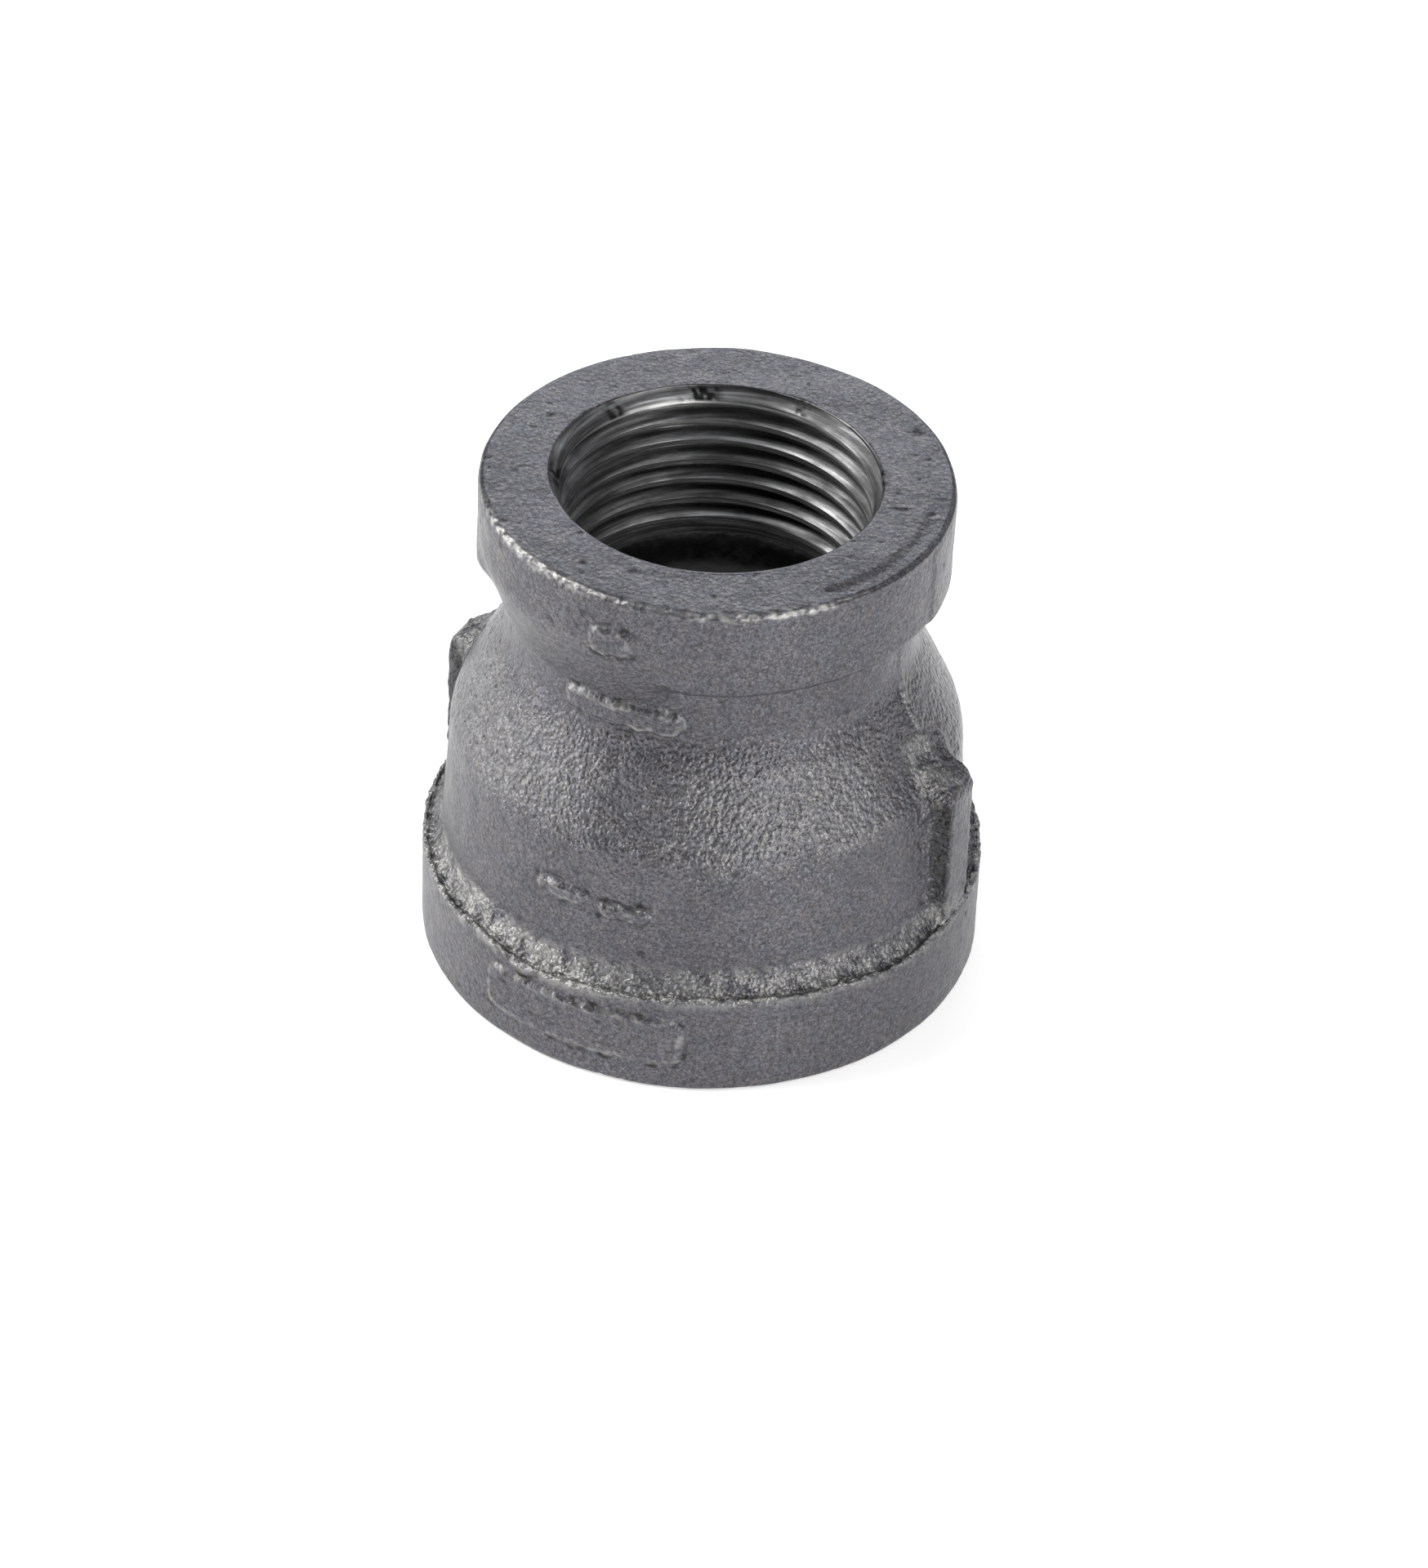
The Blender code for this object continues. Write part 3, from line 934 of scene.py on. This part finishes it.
def cast_iron():
    """Black oxide skin of a sand casting: sandy grain with painted shade between the grains,
    pits, blotches, a film of oil.
    """
    nodes = Nodes("cast_iron")
    shader = nodes.shader
    grain = nodes.grains(GRAIN_SIZE)
    grit = nodes.noise(GRIT_SIZE, 2.0)
    dust = nodes.noise(DUST_SIZE, 1.0)
    mottle = nodes.noise(MOTTLE_SIZE, 3.0)
    blotch = nodes.noise(BLOTCH_SIZE, 2.0)
    tint = nodes.ramp(mottle, [(0.36, VIOLET_SCALE), (0.64, BLUE_SCALE)])
    # Shades of the skin. Blotches and dust vary at random; the grain and grit shades follow
    # the bumps' heights, lighter on the tops and darker between them as painted shade.
    shades = [
        (blotch, (0.35, 0.92), (0.65, 1.06)),
        (grain, (0.2, 1.12), (0.8, 0.72)),
        (grit, (0.34, 0.62), (0.66, 1.45)),
        (dust, (0.34, 0.78), (0.66, 1.28)),
    ]
    for pattern, *stops in shades:
        tint = nodes.mix("MULTIPLY", 1.0, tint, nodes.ramp(pattern, stops))
    # Darker where dirt sits and where shade is painted; brighter where the iron is bare and
    # where highlights are painted.
    tint = nodes.mix("MIX", nodes.attribute("dirt_and_shade"), tint, DARK_DIRT_AND_SHADE)
    colour = nodes.mix("MIX", nodes.attribute("wear_and_highlight"), tint, BARE_IRON_AND_HIGHLIGHT)
    nodes.link(colour, shader.inputs["Base Color"])
    sandy = nodes.attribute("sandy")
    polish = nodes.ramp(sandy, [(0.4, 0.38), (1.0, 0.28)])
    unevenness = nodes.ramp(mottle, [(0.35, 0.9), (0.65, 1.1)])
    roughness = nodes.mix("MULTIPLY", 1.0, polish, unevenness)
    nodes.link(roughness, shader.inputs["Roughness"])
    height = nodes.ramp(grain, [(0.0, 1.0), (0.9, 0.0)])
    normal = nodes.bump(height, GRAIN_BUMP, strength=sandy)
    normal = nodes.bump(grit, GRIT_BUMP, normal, sandy)
    nodes.link(normal, shader.inputs["Normal"])
    shader.inputs["Metallic"].default_value = CAST_METALLIC
    return nodes.material


def machined_iron():
    """Tapped threads: bright iron under oil, streaked round the bore by the tool."""
    nodes = Nodes("machined_iron")
    shader = nodes.shader
    streak = nodes.noise(1.0, 2.0, (0.1, 0.1, 3.6))
    line = nodes.noise(1.0, 1.0, (0.16, 0.16, 8.0))
    smear = nodes.noise(1.6, 3.0, (0.5, 0.5, 1.4))
    tear = nodes.noise(0.5, 3.0, (0.5, 0.5, 2.0))
    colour = nodes.ramp(streak, [(0.34, DULL_CUT), (0.66, BRIGHT_CUT)])
    colour = nodes.mix("MULTIPLY", 1.0, colour, nodes.ramp(line, [(0.32, 0.6), (0.68, 1.35)]))
    colour = nodes.mix("MULTIPLY", 1.0, colour, nodes.ramp(smear, [(0.36, 0.55), (0.6, 1.05)]))
    # Painted highlight along the threads' crests.
    colour = nodes.mix("MIX", nodes.attribute("wear_and_highlight"), colour, CREST_HIGHLIGHT_COLOUR)
    colour = nodes.mix("MIX", nodes.attribute("dirt_and_shade"), colour, OILY_DIRT)
    nodes.link(colour, shader.inputs["Base Color"])
    roughness = nodes.ramp(smear, [(0.35, 0.52), (0.65, 0.37)])
    nodes.link(roughness, shader.inputs["Roughness"])
    normal = nodes.bump(streak, TOOL_BUMP)
    normal = nodes.bump(tear, TOOL_BUMP, normal)
    nodes.link(normal, shader.inputs["Normal"])
    shader.inputs["Metallic"].default_value = CUT_METALLIC
    return nodes.material


# The studio: a light table, and softboxes on a half sphere about the object.
FLOOR_SIZE = 4.0
FLOOR_GLOW = 0.44
LIGHT_DISTANCE = 0.8
SKY = (0.80, 0.86, 1.0, 1)
SKY_STRENGTH = 0.03


def floor_material():
    """A white light table: it glows a little, which keeps the shadows pale."""
    nodes = Nodes("pale_floor")
    fleck = nodes.noise(30.0, 2.0)
    colour = nodes.ramp(fleck, [(0.3, (0.90, 0.90, 0.90)), (0.7, (0.92, 0.92, 0.92))])
    nodes.link(colour, nodes.shader.inputs["Base Color"])
    nodes.shader.inputs["Roughness"].default_value = 0.9
    nodes.shader.inputs["Emission Color"].default_value = (1, 1, 1, 1)
    nodes.shader.inputs["Emission Strength"].default_value = FLOOR_GLOW
    return nodes.material


def build_floor():
    bpy.ops.mesh.primitive_plane_add(size=FLOOR_SIZE, location=(0, 0, LOW[2]))
    floor = bpy.context.object
    floor.name = "studio_floor"
    floor.data.materials.append(floor_material())


# The camera: the photograph's viewing angle, from the front of the casting.
CAMERA_TURN = 90 + FRONT
CAMERA_ELEVATION = 37.541
CAMERA_ROLL = 2.67
CAMERA_DISTANCE = 438.4
CAMERA_RIGHT = 0.455
CAMERA_UP = -6.632
FOCAL_LENGTH = 127.125


def build_camera():
    """The camera, its axes built from its elevation, its roll and its turn about +Z."""
    elevation = math.radians(CAMERA_ELEVATION)
    back = Vector((0, -math.cos(elevation), math.sin(elevation)))
    up = Vector((0, math.sin(elevation), math.cos(elevation)))
    axes = Matrix((Vector((1, 0, 0)), up, back)).transposed()
    roll = Matrix.Rotation(math.radians(CAMERA_ROLL), 3, "Z")
    turn = Matrix.Rotation(math.radians(CAMERA_TURN), 3, "Z")
    axes = axes @ roll
    middle = Vector((0, 0, LENGTH / 2))
    place = middle + axes @ Vector((CAMERA_RIGHT, CAMERA_UP, 0)) + back * CAMERA_DISTANCE
    data = bpy.data.cameras.new("camera")
    data.lens = FOCAL_LENGTH
    data.clip_start = 0.01
    data.clip_end = 10
    camera = bpy.data.objects.new("camera", data)
    camera.matrix_world = Matrix.LocRotScale(turn @ place * MM, turn @ axes, None)
    bpy.context.scene.collection.objects.link(camera)
    bpy.context.scene.camera = camera


def softbox(name, azimuth, elevation, width, height, radiance, colour):
    """A soft area light facing the object. Angles in degrees, azimuth 0 is the camera's."""
    data = bpy.data.lights.new(name, "AREA")
    data.shape = "RECTANGLE"
    data.size = 2 * LIGHT_DISTANCE * math.tan(math.radians(width / 2))
    data.size_y = 2 * LIGHT_DISTANCE * math.tan(math.radians(height / 2))
    data.energy = radiance * math.pi * data.size * data.size_y
    data.color = colour
    turn = math.radians(azimuth - 90 + CAMERA_TURN)
    rise = math.radians(elevation)
    flat = math.cos(rise)
    direction = Vector((flat * math.cos(turn), flat * math.sin(turn), math.sin(rise)))
    light = bpy.data.objects.new(name, data)
    light.visible_camera = False
    light.location = direction * LIGHT_DISTANCE + Vector((0, 0, LENGTH / 2 * MM))
    light.rotation_euler = direction.to_track_quat("Z", "Y").to_euler()
    bpy.context.scene.collection.objects.link(light)


# The softboxes' colours, then each one's azimuth, elevation, width and height in degrees,
# radiance and colour.
WARM = (1.0, 0.99, 0.96)
COOL = (0.94, 0.97, 1.0)
SOFTBOXES = {
    "left_low": (-95, 8, 28, 16, 9.8, WARM),
    "left_middle": (-95, 27, 28, 22, 2.8, WARM),
    "left_high": (-95, 50, 28, 22, 12.0, WARM),
    "left_front": (-65, 8, 28, 16, 2.9, WARM),
    "right_low": (35, 8, 28, 16, 11.2, WARM),
    "right_side": (62, 8, 28, 16, 0.8, WARM),
    "right_middle": (47, 27, 53, 22, 1.6, WARM),
    "right_high": (60, 50, 28, 22, 4.4, WARM),
    "back_right": (130, 27, 28, 22, 1.2, COOL),
    "back": (-179, 27, 34, 22, 4.0, COOL),
    "top": (0, 84, 50, 50, 0.6, COOL),
}


def build_lights():
    for name, settings in SOFTBOXES.items():
        softbox(name, *settings)
    world = bpy.data.worlds.new("studio")
    world.use_nodes = True
    background = world.node_tree.nodes["Background"]
    background.inputs["Color"].default_value = SKY
    background.inputs["Strength"].default_value = SKY_STRENGTH
    bpy.context.scene.world = world


casting = build_casting()
casting.data.materials.append(cast_iron())
casting.data.materials.append(machined_iron())
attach(casting, "root")
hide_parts("reducer_body")
build_floor()
build_camera()
build_lights()
bpy.context.scene.view_settings.view_transform = "Standard"
